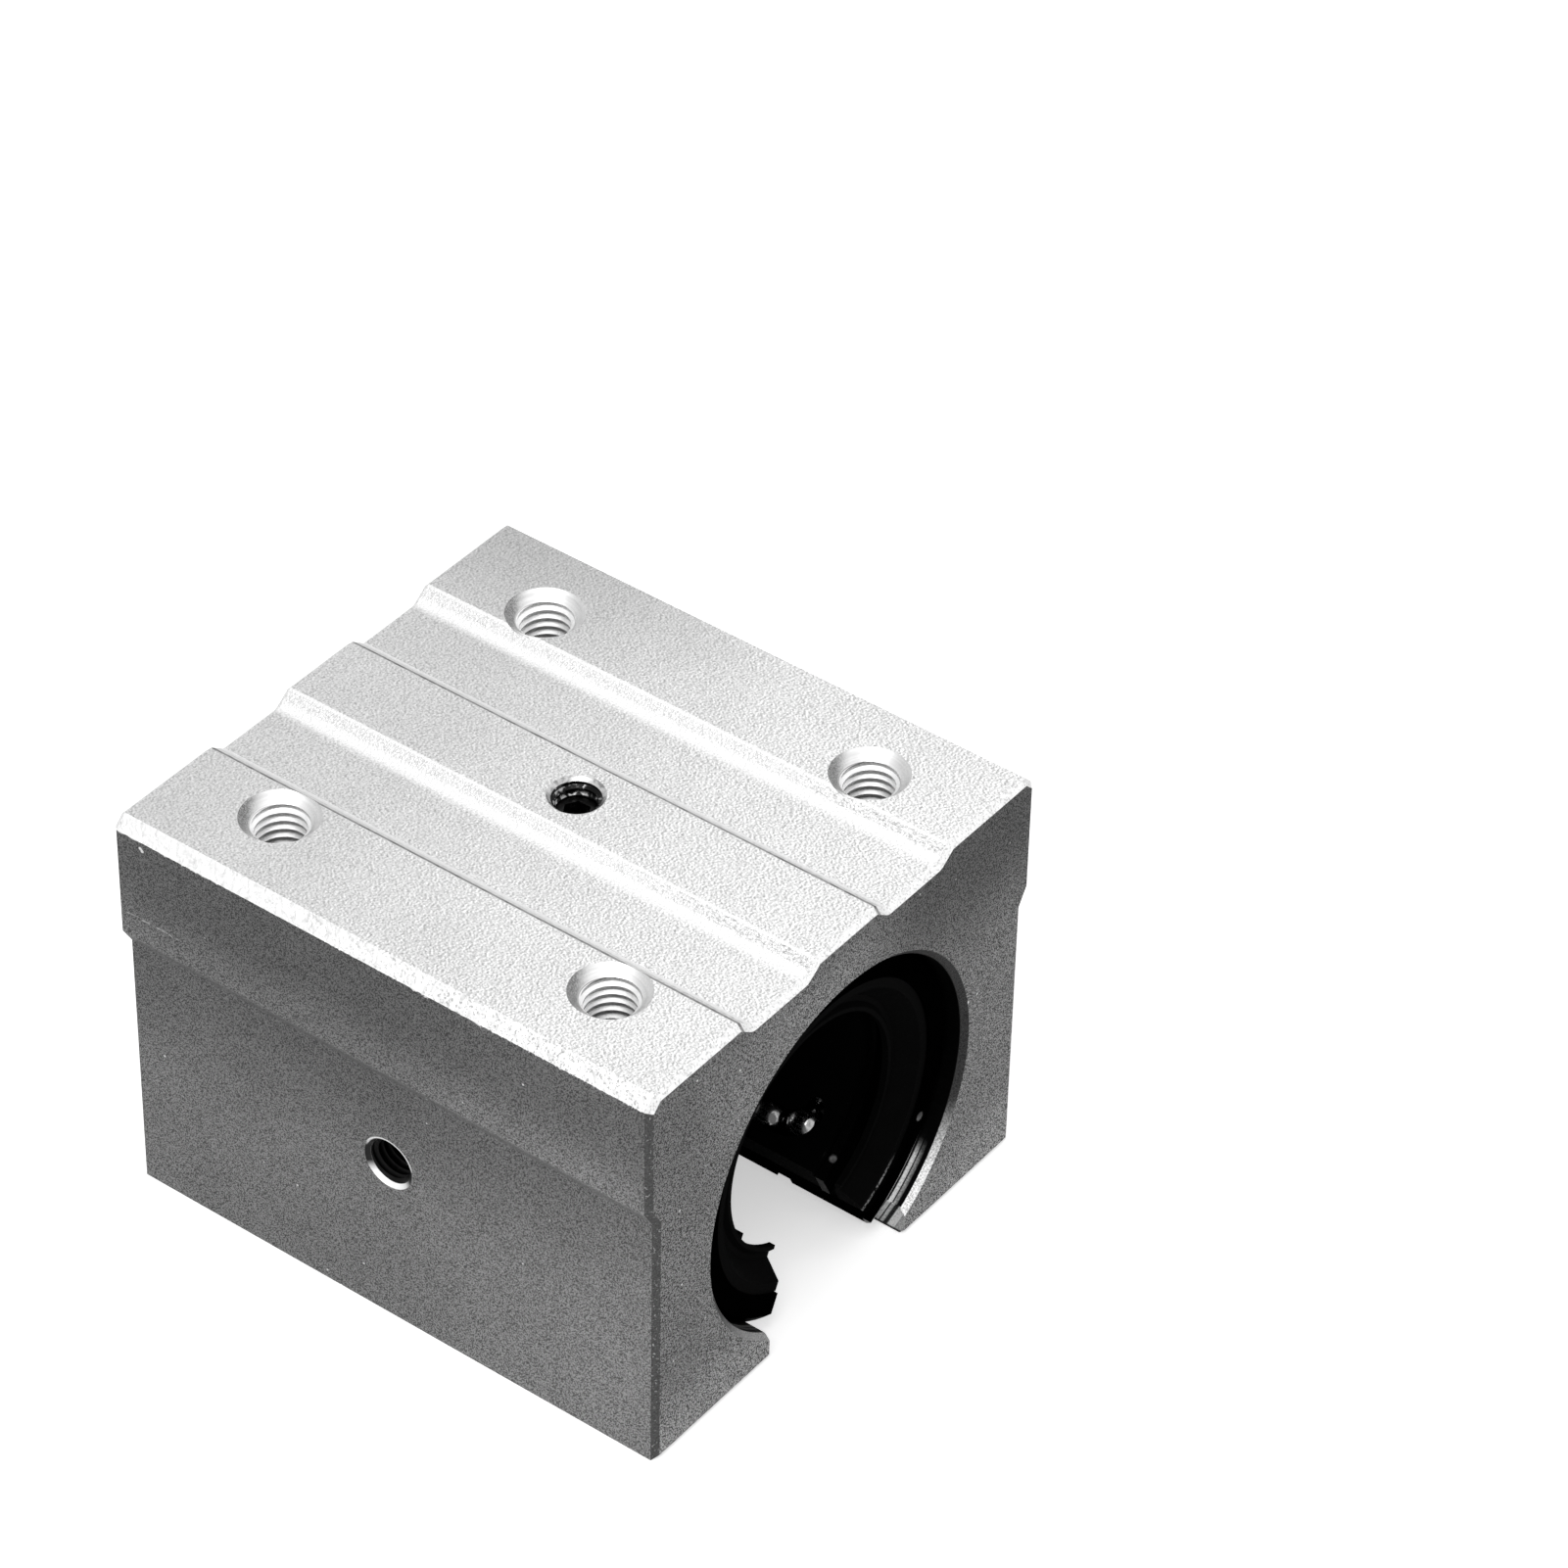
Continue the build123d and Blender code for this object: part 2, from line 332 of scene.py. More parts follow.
@dataclass(frozen=True)
class Block:
    """Sizes of the block that its finishes and its threads share, in millimetres."""

    top: float = 47.0
    half_width: float = 30.0
    side: float = 28.8
    long_edge_chamfer: float = 1.3
    hole_place: float = 20.0
    countersink_radius: float = 4.0
    mounting_foot: float = 26.0
    lock_mouth_radius: float = 2.9
    lock_chamfer: float = 0.4
    top_lock_foot: float = 36.0
    side_lock_foot: float = -17.0
    bore_height: float = 20.0
    bore_radius: float = 20.0
    mouth_radius: float = 20.65
    jaw_height: float = 3.6
    slot_half_width: float = 11.2
    groove_floor: float = 46.0
    groove_crests: "tuple[float, float]" = (-16.3, 4.6)
    groove_feet: "tuple[float, float]" = (-6.45, 14.45)
    groove_reach: float = 17.0


BLOCK = Block()


class HousingSheet(NodeSheet):
    """The housing's node sheet, with the patterns and masks that its finishes share."""

    def __init__(self) -> None:
        """Makes the patterns, and the masks that several finishes need."""
        super().__init__("blasted_aluminium", 1.0)
        self.pebble = self.noise(4.2, 2.0, 0.4)
        self.grain = self.noise(6.4, 1.0).rise(0.30, 0.70)
        self.cloud = self.noise(0.09, 2.0)
        self.burr = self.noise(1.0, 4.0, 0.6)
        self.rings = self.noise(3.0, 2.0, 0.0, (0.05, 0.05, 2.2))
        self.end_on = self.facing_x.size()
        self.up = self.facing_z.rise(0.2, 0.4)
        self.tilted = self.facing_z.rise(0.985, 0.96) * self.up
        self.grooved = self.y.size().rise(BLOCK.groove_reach, BLOCK.groove_reach - 0.1)
        self.corner = (self.end_on * self.facing_y.size()).rise(0.2, 0.35) * self.up.inverse()
        self.forward = self.x.rise(-25.0, 20.0)
        self.around = self.distance(self.y, self.z - BLOCK.bore_height)
        self.bored = self.around.rise(BLOCK.bore_radius + 0.04, BLOCK.bore_radius + 0.02)
        edge = BLOCK.mouth_radius + MARGIN
        cone = self.around.rise(edge, edge - 0.02) * self.bored.inverse()
        self.mouth = cone * self.end_on.rise(0.95, 0.85)

    def inside(self, away: Field, radius: float) -> Field:
        """Mask of what lies within a radius, with a little margin."""
        return away.rise(radius + MARGIN + 0.02, radius + MARGIN)

    def mounting(self) -> Field:
        """Mask of the walls and countersinks of the four mounting holes.

        Returns:
            The mask.
        """
        away = self.distance(self.x.size() - BLOCK.hole_place, self.y.size() - BLOCK.hole_place)
        above = self.z.rise(BLOCK.mounting_foot, BLOCK.mounting_foot + 1.0)
        return self.inside(away, BLOCK.countersink_radius) * above

    def from_lock(self) -> "tuple[Field, Field]":
        """Distances from the axes of the top and the side lock screw holes."""
        return self.distance(self.x, self.y), self.distance(self.x, self.z - BLOCK.bore_height)

    def lock_holes(self) -> Field:
        """Mask of the two lock screw holes.

        Returns:
            The mask.
        """
        top, side = (self.inside(away, BLOCK.lock_mouth_radius) for away in self.from_lock())
        above = self.z.rise(BLOCK.top_lock_foot, BLOCK.top_lock_foot + 1.0)
        outside = self.y.rise(BLOCK.side_lock_foot, BLOCK.side_lock_foot - 1.0)
        return (top * above).most(side * outside)

    def lock_rims(self) -> "tuple[Field, Field]":
        """Masks of the chamfers at the mouths of the top and the side lock screw holes.

        Returns:
            The top mask and the side mask.
        """
        top, side = (self.inside(away, BLOCK.lock_mouth_radius) for away in self.from_lock())
        depth = BLOCK.lock_chamfer + 0.02
        top_foot, side_foot = BLOCK.top - depth, depth - BLOCK.side
        return top * self.z.rise(top_foot, top_foot + 0.05), side * self.y.rise(side_foot, side_foot - 0.05)

    def side_bright_line(self) -> Field:
        """Mask of the thin bright line along the upper front edge of the side lock screw hole.

        Returns:
            The mask.
        """
        edge = BLOCK.lock_mouth_radius + MARGIN
        line = self.from_lock()[1].band(edge - 0.06, edge, edge + 0.08, edge + 0.16)
        upper = (self.z - BLOCK.bore_height + self.x * 0.15).rise(0.7, 1.5)
        return line * upper * self.y.rise(0.05 - BLOCK.side, -BLOCK.side)

    def jaw_walls(self) -> Field:
        """Mask of the flat inner walls of the two jaws.

        Returns:
            The mask.
        """
        low = self.z.rise(BLOCK.jaw_height + 0.4, BLOCK.jaw_height)
        inner = self.y.size().rise(BLOCK.slot_half_width + 0.1, BLOCK.slot_half_width)
        return inner * low * self.facing_y.size().rise(0.7, 0.8)

    def strips(
        self, lines: "tuple[float, float]", start: float, full: float, fade: float, end: float
    ) -> Field:
        """Mask of a strip beside each of two lines along the block.

        Args:
            lines: where the two lines lie across the block.
            start: where a strip begins, from its line.
            full: where it is complete.
            fade: where it begins to fade.
            end: where it ends.

        Returns:
            The mask.
        """
        first, second = (
            self.y.band(line + start, line + full, line + fade, line + end) for line in lines
        )
        return first.most(second)

    def nicks(self, places: "tuple[tuple[float, float, float], ...]", radius: float) -> Field:
        """Mask of some small round nicks.

        Args:
            places: the nicks' middles.
            radius: their radius.

        Returns:
            The mask.
        """
        first, *others = [self.near(place, radius) for place in places]
        for other in others:
            first = first.most(other)
        return first


@dataclass(frozen=True)
class BlastedAluminium:
    """Housing: blasted bright top, satin grey sides darker partly as painted shade, turned holes, and a
    bore painted nearly black as shade with painted highlights.
    """

    top_tone: float = 0.68
    # The satin faces are darker than the top partly as painted shade.
    side_tone: float = 0.185
    edge_tone: float = 0.86
    slope_tone: float = 0.82
    corner_shade_tone: float = 0.10
    turned_tone: float = 0.86
    # Painted shade: the bore is nearly black.
    bore_tone: float = 0.012
    lock_tone: float = 0.025
    nick_tone: float = 0.80
    bright_line_tone: float = 0.90
    top_roughness: float = 0.66
    side_roughness: float = 0.52
    edge_roughness: float = 0.46
    bore_roughness: float = 0.34
    turned_roughness: float = 0.36
    relief_depth: float = 0.09
    scratch_height: float = 36.1
    bright_band: "tuple[float, float, float, float]" = (30.3, 30.4, 30.75, 30.85)
    middle_band: "tuple[float, float, float, float]" = (30.9, 31.0, 31.25, 31.45)
    outer_band: "tuple[float, float, float, float]" = (31.75, 31.95, 32.6, 32.9)
    band_lean: float = 0.44
    nick_radius: float = 0.26
    nicks: "tuple[tuple[float, float, float], ...]" = (
        (-28.9, -30.0, 44.9),
        (-28.7, -30.0, 44.7),
        (-23.8, -29.4, 32.8),
        (32.5, 20.2, 24.3),
    )
    sheet: HousingSheet = field(default_factory=HousingSheet)

    def _side_light(self) -> Field:
        """Painted light and shade on the satin faces: a factor that grows darker upwards and brighter
        towards the front.

        Returns:
            The factor.
        """
        lower = self.sheet.z.rise(12.0, 31.0) * -0.38 + 1.14
        flange = self.sheet.z.rise(33.0, 40.5) * -0.34 + 1.0
        outer = self.sheet.y.size().rise(BLOCK.half_width - 0.6, BLOCK.half_width - 0.2)
        side = lower.towards(flange, outer) * (self.sheet.x.rise(-8.0, 31.0) * 0.27 + 1.04)
        foot = self.sheet.z.rise(11.0, 1.0) * 0.55 - self.sheet.z.rise(24.0, 44.0) * 0.18 + 1.05
        shade = self.sheet.y.rise(2.0, 14.0) * self.sheet.z.rise(28.0, 43.0) * 0.40
        gleam = self.sheet.y.band(-26.0, -16.0, 0.0, 8.0) * self.sheet.z.rise(28.0, 38.0) * 0.24
        end = foot - shade + gleam * self.sheet.z.rise(46.0, 43.0)
        return side.towards(end, self.sheet.end_on.rise(0.8, 0.9))

    def _scratch(self) -> Field:
        """Mask of the fine broken scratch at the rear end of the side face.

        Returns:
            The mask.
        """
        line = (self.sheet.z - self.scratch_height + self.sheet.noise(0.4) * 0.6).size().rise(0.14, 0.04)
        broken = self.sheet.noise(1.4, 2.0).rise(0.42, 0.58)
        outer = self.sheet.y.rise(0.2 - BLOCK.half_width, 0.1 - BLOCK.half_width)
        return line * broken * self.sheet.x.rise(-22.0, -27.0) * outer

    def _side(self) -> Field:
        """Tone of the satin sides and ends, with nicks, a scratch, and painted light and shade.

        Returns:
            The tone.
        """
        contrast = self.sheet.end_on * 0.6 + 1.15
        grain = (self.sheet.grain.rise(0.15, 0.85) - 0.5) * contrast + 1.02
        # Painted light and shade multiply the satin tone.
        satin = grain * (self.sheet.cloud * 0.30 + 0.85) * self.side_tone * self._side_light()
        nicks = self.sheet.specks(0.30, 0.050).most(self.sheet.nicks(self.nicks, self.nick_radius))
        return satin.towards(self.nick_tone, nicks).towards(0.55, self._scratch() * 0.7)

    def _top(self) -> Field:
        """Tone of the blasted top, with painted light: brighter towards the front, dim at its far rear
        corner, and shaded on its pebbles.

        Returns:
            The tone.
        """
        pebbled = self.sheet.pebble.rise(0.30, 0.56) * 0.30 + 0.78
        blasted = pebbled * (self.sheet.cloud * 0.16 + 0.92) * self.top_tone
        # Painted shade on the pebbles, as if lit along X.
        relief = self.sheet.embossed(3.8, 0.14) * (self.sheet.x.rise(-30.0, 25.0) * 0.7 + 0.75) + 1.0
        # Painted light: dim at the far rear corner, brighter towards the front.
        corner = self.sheet.x.rise(10.0, -32.0) * self.sheet.y.rise(8.0, 30.0) * -0.20 + 1.0
        light = (self.sheet.x.rise(-34.0, 34.0) * 0.24 + 0.86) * corner
        low = self.sheet.z.rise(BLOCK.groove_floor, BLOCK.groove_floor - 0.1)
        feet = self.sheet.strips(BLOCK.groove_feet, -1.1, 0.0, 0.2, 0.3) * low
        return (blasted * relief * light).towards(1.0, feet * 0.5)

    def _slope(self) -> Field:
        """Tone of the groove slopes: white below, faintly streaked above.

        Returns:
            The tone.
        """
        streak = self.sheet.noise(4.0, 3.0, 0.0, (0.5, 1.6, 1.6)).rise(0.30, 0.60)
        floor = BLOCK.groove_floor
        upper = self.sheet.z.band(floor, floor + 0.3, BLOCK.top - 0.2, BLOCK.top - 0.1)
        wear = self.sheet.x.rise(5.0, 30.0) * 0.30 + 0.20
        rough = streak * wear + wear.inverse() - 0.10
        return (self.sheet.pebble * 0.2 + 0.9) * self.slope_tone * rough.towards(1.0, upper.inverse())

    def _edge(self) -> Field:
        """Tone of the tilted surfaces: rough long edges, end edges and groove slopes.

        Returns:
            The tone.
        """
        pebble, burr = self.sheet.pebble, self.sheet.burr
        pits = pebble.rise(0.44, 0.36) * self.sheet.forward * -0.45 + 1.0
        long_edge = (burr.rise(0.32, 0.44) * 0.20 + 0.80) * (pebble * 0.30 + 0.85) * pits
        end_edge = (pebble.rise(0.30, 0.50) * 0.40 + 0.66) * self.edge_tone
        edge = (long_edge * self.edge_tone).towards(self._slope(), self.sheet.grooved)
        return edge.towards(end_edge, self.sheet.end_on.rise(0.3, 0.4))

    def _ragged_edge(self) -> Field:
        """Mask of the bright metal that the rough long edges drag over the side faces.

        Returns:
            The mask.
        """
        uneven = (self.sheet.burr - 0.5) * 0.9 + (self.sheet.pebble - 0.5) * self.sheet.forward * 0.9
        height = self.sheet.z - (BLOCK.top - BLOCK.long_edge_chamfer - 0.15) + uneven
        outer = self.sheet.y.size().rise(BLOCK.half_width - 0.1, BLOCK.half_width - 0.02)
        return height.rise(0.10, 0.22) * outer

    def _away_slope_shade(self) -> Field:
        """Mask of painted shade: thin broken dark lines along the groove edges whose slopes face +Y.

        Returns:
            The mask.
        """
        lines = self.sheet.strips(BLOCK.groove_crests, -0.1, 0.0, 0.30, 0.50)
        broken = self.sheet.burr.rise(0.30, 0.62) * -0.30 + 1.0
        return lines * self.sheet.facing_y.rise(0.05, 0.2) * broken

    def _corner_shade(self) -> Field:
        """Tone of the upright corner edges: dark as painted shade, with a few rubbed spots."""
        spots = self.sheet.noise(3.4, 2.0, 0.6).rise(0.62, 0.70) * self.sheet.end_on.rise(0.60, 0.72)
        return ((self.sheet.grain * 0.6 + 0.7) * self.corner_shade_tone).towards(0.45, spots)

    def _bands(self, across: Field) -> Field:
        """Strength of the two bands of painted highlight near each end of the bore."""
        return across.band(*self.bright_band).most(across.band(*self.middle_band) * 0.75)

    def _highlight_side(self) -> Field:
        """Factor on the painted highlight bands: strong on the far jaw and faint on the near one."""
        return self.sheet.y.rise(-5.0, 5.0) * 0.65 + 0.35

    def _bore(self) -> Field:
        """Tone of the bore: nearly black as painted shade, with bands of painted highlight near the jaws.

        Returns:
            The tone.
        """
        rings = self.sheet.noise(1.0, 3.0, 0.0, (5.5, 0.10, 0.10)).rise(0.36, 0.62)
        bands = self._bands(self.sheet.x.size()) * (rings * 0.3 + self.sheet.grain * 0.6 + 0.5)
        return bands * self.sheet.z.rise(8.4, 6.2) * self._highlight_side() + self.bore_tone

    def _mouth(self) -> Field:
        """Tone of the bore's mouth cones: painted shade above, painted highlight near the jaws."""
        # Painted shade above, painted highlight low near the jaws.
        low = self.sheet.z.rise(13.0, 4.5) * self._highlight_side() * 0.88 + 0.05
        return (self.sheet.grain * 0.7 + 0.55) * low

    def _jaw_walls(self) -> Field:
        """Tone of the inner walls of the jaws: near black, with the bore's painted highlight bands drawn on
        downwards.

        Returns:
            The tone.
        """
        below = (self.sheet.z * -1.0 + BLOCK.jaw_height).most(0.0)
        across = self.sheet.x.size() + below * self.band_lean
        fade, end = self.outer_band[2:]
        # Painted highlight bands, carried on from the bore.
        bands = self._bands(across).most(across.band(*self.outer_band))
        bands = bands.most(across.rise(fade, end) * 0.50) * (self.sheet.grain * 0.5 + 0.75)
        near_black = self.sheet.grain * 0.035 + 0.012
        return bands * self.sheet.z.rise(0.15, 0.45) * self._highlight_side() + near_black

    def _machined(self) -> Field:
        """Tone of the countersinks, with painted dark reflections at two sides of each.

        Returns:
            The tone.
        """
        east = (self.sheet.x.size() - BLOCK.hole_place) * self.sheet.x.sign()
        north = (self.sheet.y.size() - BLOCK.hole_place) * self.sheet.y.sign()
        along = east * 0.80 + north * 0.60
        reach = along.size().rise(1.6, 3.5) * self.sheet.z.rise(BLOCK.top - 1.1, BLOCK.top - 0.9)
        # Painted reflection: dark wedges at two sides of each countersink.
        dark_reflections = reach * (along.rise(0.0, -0.1) * 0.60 + 0.35)
        bright = (self.sheet.rings * 0.40 + 0.78) * self.turned_tone
        return bright.towards(0.10, dark_reflections * (self.sheet.grain * 0.3 + 0.7))

    def _lock_rim(self, side: Field) -> Field:
        """Tone of the chamfers of the lock screw holes.

        The top one is mottled. The side one is a painted highlight below, and bright on its upper rim.

        Args:
            side: mask of the side hole's chamfer.

        Returns:
            The tone.
        """
        middle = BLOCK.bore_height
        # Painted highlight on the lower part of the side chamfer.
        below = self.sheet.z.rise(middle - 0.9, middle - 2.2)
        above = self.sheet.z.rise(middle + 0.8, middle + 1.6) * self.sheet.from_lock()[1].rise(2.76, 2.84)
        side_tone = (below.most(above) * (self.sheet.burr * 0.3 + 0.8)).most(0.03)
        top_tone = self.sheet.burr.rise(0.30, 0.58) * 0.42 + 0.20
        return top_tone.towards(side_tone, side)

    def _tone(self, mounting: Field, lock: Field) -> Field:
        """Tone of the whole housing, each surface laid over the last.

        Args:
            mounting: mask of the mounting holes.
            lock: mask of the lock screw holes.

        Returns:
            The tone.
        """
        top_rim, side_rim = self.sheet.lock_rims()
        tone = self._side().towards(self._top(), self.sheet.up)
        tone = tone.towards(self._edge(), self.sheet.tilted)
        tone = tone.towards(self.edge_tone, self._ragged_edge())
        # Painted shade on the groove slopes that face +Y.
        tone = tone.towards(self.sheet.grain * 0.10 + 0.03, self._away_slope_shade())
        # Painted shade on the upright corner edges.
        tone = tone.towards(self._corner_shade(), self.sheet.corner)
        tone = tone.towards(self._mouth(), self.sheet.mouth)
        tone = tone.towards(self._bore(), self.sheet.bored)
        tone = tone.towards(self._machined(), mounting)
        tone = tone.towards(self._jaw_walls(), self.sheet.jaw_walls())
        tone = tone.towards((self.sheet.burr.rise(0.50, 0.60) * 0.30 + 1.0) * self.lock_tone, lock)
        tone = tone.towards(self._lock_rim(side_rim), top_rim.most(side_rim))
        return tone.towards(self.bright_line_tone, self.sheet.side_bright_line())

    def build(self) -> bpy.types.Material:
        """Makes the material.

        Returns:
            The finished material.
        """
        pebble, grain, rings = self.sheet.pebble, self.sheet.grain, self.sheet.rings
        mounting, lock = self.sheet.mounting(), self.sheet.lock_holes()
        self.sheet.colour(self._tone(mounting, lock))
        satin = grain * 0.12 + self.side_roughness - 0.06
        rough = satin.towards(pebble * 0.16 + self.top_roughness - 0.08, self.sheet.up)
        rough = rough.towards(self.edge_roughness, self.sheet.tilted)
        rough = rough.towards(rings * 0.10 + self.bore_roughness, self.sheet.bored.most(self.sheet.mouth))
        rough = rough.towards(rings * 0.12 + self.turned_roughness - 0.06, mounting.most(lock))
        self.sheet.roughness(rough)
        height = (grain * 0.5).towards(pebble, self.sheet.up)
        height = height.towards(self.sheet.burr * 2.4, self.sheet.tilted * self.sheet.grooved.inverse())
        height = height.towards(rings * 0.35, mounting.most(lock).most(self.sheet.bored))
        self.sheet.relief(height, self.relief_depth)
        return self.sheet.material


@dataclass(frozen=True)
class CutThread:
    """Freshly cut thread turns in the aluminium, with painted shade in their roots and deeper in the hole.
    """

    tone: float = 0.86
    root_shade_tone: float = 0.32
    roughness: float = 0.50
    root_radius: float = 2.97

    def build(self) -> bpy.types.Material:
        """Makes the material.

        Returns:
            The finished material.
        """
        sheet = NodeSheet("cut_thread", 1.0)
        streak = sheet.noise(2.2, 3.0, 0.0, (1.0, 1.0, 3.0))
        radius = sheet.distance(sheet.x.size() - BLOCK.hole_place, sheet.y.size() - BLOCK.hole_place)
        metal = (streak * 0.4 + 0.80) * self.tone
        # Painted shade: darker deeper in the hole.
        metal = metal * (sheet.z.rise(44.5, 39.0) * -0.65 + 1.0)
        # Painted shade in the thread roots.
        root = sheet.x.rise(10.0, -10.0) * 0.22 + self.root_shade_tone
        sheet.colour(metal.towards(root, radius.rise(self.root_radius - 0.07, self.root_radius)))
        sheet.roughness(streak * 0.16 + self.roughness - 0.08)
        sheet.relief(streak, 0.02, 0.5)
        return sheet.material


@dataclass(frozen=True)
class StainedThread:
    """Thread turns of the lock screw holes, dark with oil, with painted glints at the top one."""

    tone: float = 0.012
    wear_and_highlight: float = 0.50
    roughness: float = 0.34

    def build(self) -> bpy.types.Material:
        """Makes the material.

        Returns:
            The finished material.
        """
        sheet = NodeSheet("stained_thread", 1.0)
        upper = sheet.z.rise(BLOCK.top_lock_foot, BLOCK.top_lock_foot + 1.0)
        # Painted glints on the upper turns of the top hole.
        wear_and_glints = sheet.noise(1.1, 3.0, 0.6).rise(0.50, 0.62) * upper
        streak = sheet.noise(2.6, 3.0)
        sheet.colour(((streak * 0.8 + 0.6) * self.tone).towards(self.wear_and_highlight, wear_and_glints * 0.6))
        sheet.roughness(streak * 0.2 + self.roughness - 0.1)
        sheet.relief(streak, 0.02, 0.6)
        return sheet.material


@dataclass(frozen=True)
class HardenedSteel:
    """Ground steel of the sleeve, nearly black as painted shade, with painted highlights low on its end and
    in one spot.
    """

    # Painted shade: nearly black.
    tone: float = 0.005
    highlight_tone: float = 0.95
    roughness: float = 0.30
    edge_tint: float = 0.12
    end_chamfer_start: float = 29.4
    end_chamfer_radius: float = 19.2
    highlight_spot: "tuple[float, float, float]" = (30.5, 15.7, 11.4)
    highlight_radius: float = 0.60

    def build(self) -> bpy.types.Material:
        """Makes the material.

        Returns:
            The finished material.
        """
        sheet = NodeSheet("hardened_steel", 1.0)
        sheet.oily(self.edge_tint)
        around = sheet.distance(sheet.y, sheet.z - BLOCK.bore_height)
        lines = sheet.noise(2.4, 3.0, 0.2, (2.5, 0.12, 0.12))
        film = sheet.noise(0.25, 3.0, 0.8)
        outer = around.rise(self.end_chamfer_radius - 0.2, self.end_chamfer_radius)
        end = sheet.x.size().rise(self.end_chamfer_start, self.end_chamfer_start + 0.2)
        # Painted highlight low on the end chamfer.
        low = sheet.z.rise(9.5, 7.5) * outer * end * sheet.y.rise(-5.0, 5.0)
        tone = (lines * 0.5 + 0.75) * (film * 0.5 + 0.75) * self.tone
        # Painted highlight spot.
        wear_and_highlight = sheet.near(self.highlight_spot, self.highlight_radius) * film.rise(0.30, 0.55)
        tone = tone.towards((lines * 0.6 + 0.6) * self.highlight_tone, low)
        sheet.colour(tone.towards(self.highlight_tone, wear_and_highlight * 0.6))
        sheet.roughness(lines * 0.12 + film * 0.10 + self.roughness - 0.10)
        sheet.relief(lines, 0.012, 0.5)
        return sheet.material


@dataclass(frozen=True)
class GreasedPlastic:
    """Black moulded plastic of the retainer under a film of grease."""

    tone: float = 0.002
    roughness: float = 0.30
    gloss: float = 0.08

    def build(self) -> bpy.types.Material:
        """Makes the material.

        Returns:
            The finished material.
        """
        sheet = NodeSheet("greased_plastic", 0.0)
        sheet.gloss(self.gloss)
        film = sheet.noise(0.55, 3.0, 0.9)
        mould = sheet.noise(1.4, 2.0, 0.0, (0.2, 1.0, 1.0))
        sheet.colour((film * 0.8 + 0.6) * self.tone)
        sheet.roughness(film * 0.22 + self.roughness - 0.11)
        sheet.relief(mould * 0.6 + film * 0.4, 0.05, 0.5)
        return sheet.material


@dataclass(frozen=True)
class OiledRubber:
    """Black rubber of the end seals, with a painted highlight low on its rim."""

    tone: float = 0.003
    highlight_tone: float = 0.30
    roughness: float = 0.42
    gloss: float = 0.06
    rim: "tuple[float, float, float, float]" = (16.2, 16.35, 16.6, 16.75)
    face: float = 29.9

    def build(self) -> bpy.types.Material:
        """Makes the material.

        Returns:
            The finished material.
        """
        sheet = NodeSheet("oiled_rubber", 0.0)
        sheet.gloss(self.gloss)
        skin = sheet.noise(3.5, 3.0)
        film = sheet.noise(0.4, 2.0, 0.7)
        around = sheet.distance(sheet.y, sheet.z - BLOCK.bore_height)
        thin = around.band(*self.rim) * sheet.x.size().rise(self.face, self.face + 0.2)
        # Painted highlight low on the rim.
        low = sheet.z.rise(9.0, 7.0) * thin * skin.rise(0.36, 0.60) * sheet.y.rise(-5.0, 5.0)
        sheet.colour(((skin * 0.5 + film * 0.5 + 0.5) * self.tone).towards(self.highlight_tone, low))
        sheet.roughness(film * 0.26 + self.roughness - 0.13)
        sheet.relief(skin, 0.02, 0.6)
        return sheet.material


@dataclass(frozen=True)
class PolishedBall:
    """Lapped bearing steel with traces of grease, darkened partly as painted shade."""

    tone: float = 0.46
    roughness: float = 0.08

    def build(self) -> bpy.types.Material:
        """Makes the material.

        Returns:
            The finished material.
        """
        sheet = NodeSheet("polished_ball", 1.0)
        grease_and_shade = sheet.noise(0.9, 3.0, 0.8).rise(0.40, 0.58)
        lapping = sheet.noise(6.0, 2.0)
        # The grease patches and the low tone also stand in for shade inside the bore.
        sheet.colour((grease_and_shade * -0.75 + 1.0) * (lapping * 0.1 + 0.95) * self.tone)
        sheet.roughness(grease_and_shade * 0.16 + lapping * 0.03 + self.roughness)
        sheet.relief(lapping, 0.003, 0.3)
        return sheet.material


@dataclass(frozen=True)
class RolledSteel:
    """Plain steel strip of the side rings, nearly black as painted shade, with one painted highlight spot.
    """

    tone: float = 0.008
    roughness: float = 0.38
    wear_and_highlight: float = 0.98
    highlight_spot: "tuple[float, float, float]" = (25.7, 7.9, 8.7)
    highlight_radius: float = 0.55

    def build(self) -> bpy.types.Material:
        """Makes the material.

        Returns:
            The finished material.
        """
        sheet = NodeSheet("rolled_steel", 1.0)
        strip = sheet.noise(2.0, 3.0, 0.3)
        # Painted highlight spot.
        spot = sheet.near(self.highlight_spot, self.highlight_radius) * (strip * 0.9 + 0.4)
        sheet.colour(((strip * 0.5 + 0.75) * self.tone).towards(self.wear_and_highlight, spot))
        sheet.roughness(strip * 0.2 + self.roughness - 0.1)
        sheet.relief(strip, 0.015, 0.5)
        return sheet.material


@dataclass(frozen=True)
class BlackOxide:
    """Black oxide of the set screws, rubbed grey in patches."""

    tone: float = 0.035
    wear_and_highlight: float = 0.22
    roughness: float = 0.34

    def build(self) -> bpy.types.Material:
        """Makes the material.

        Returns:
            The finished material.
        """
        sheet = NodeSheet("black_oxide", 1.0)
        coat = sheet.noise(2.8, 3.0, 0.5)
        wear_and_glints = sheet.noise(1.6, 2.0, 0.8).rise(0.56, 0.68)
        sheet.colour(((coat * 0.7 + 0.65) * self.tone).towards(self.wear_and_highlight, wear_and_glints * 0.5))
        sheet.roughness(coat * 0.22 + self.roughness - 0.11)
        sheet.relief(coat, 0.02, 0.6)
        return sheet.material


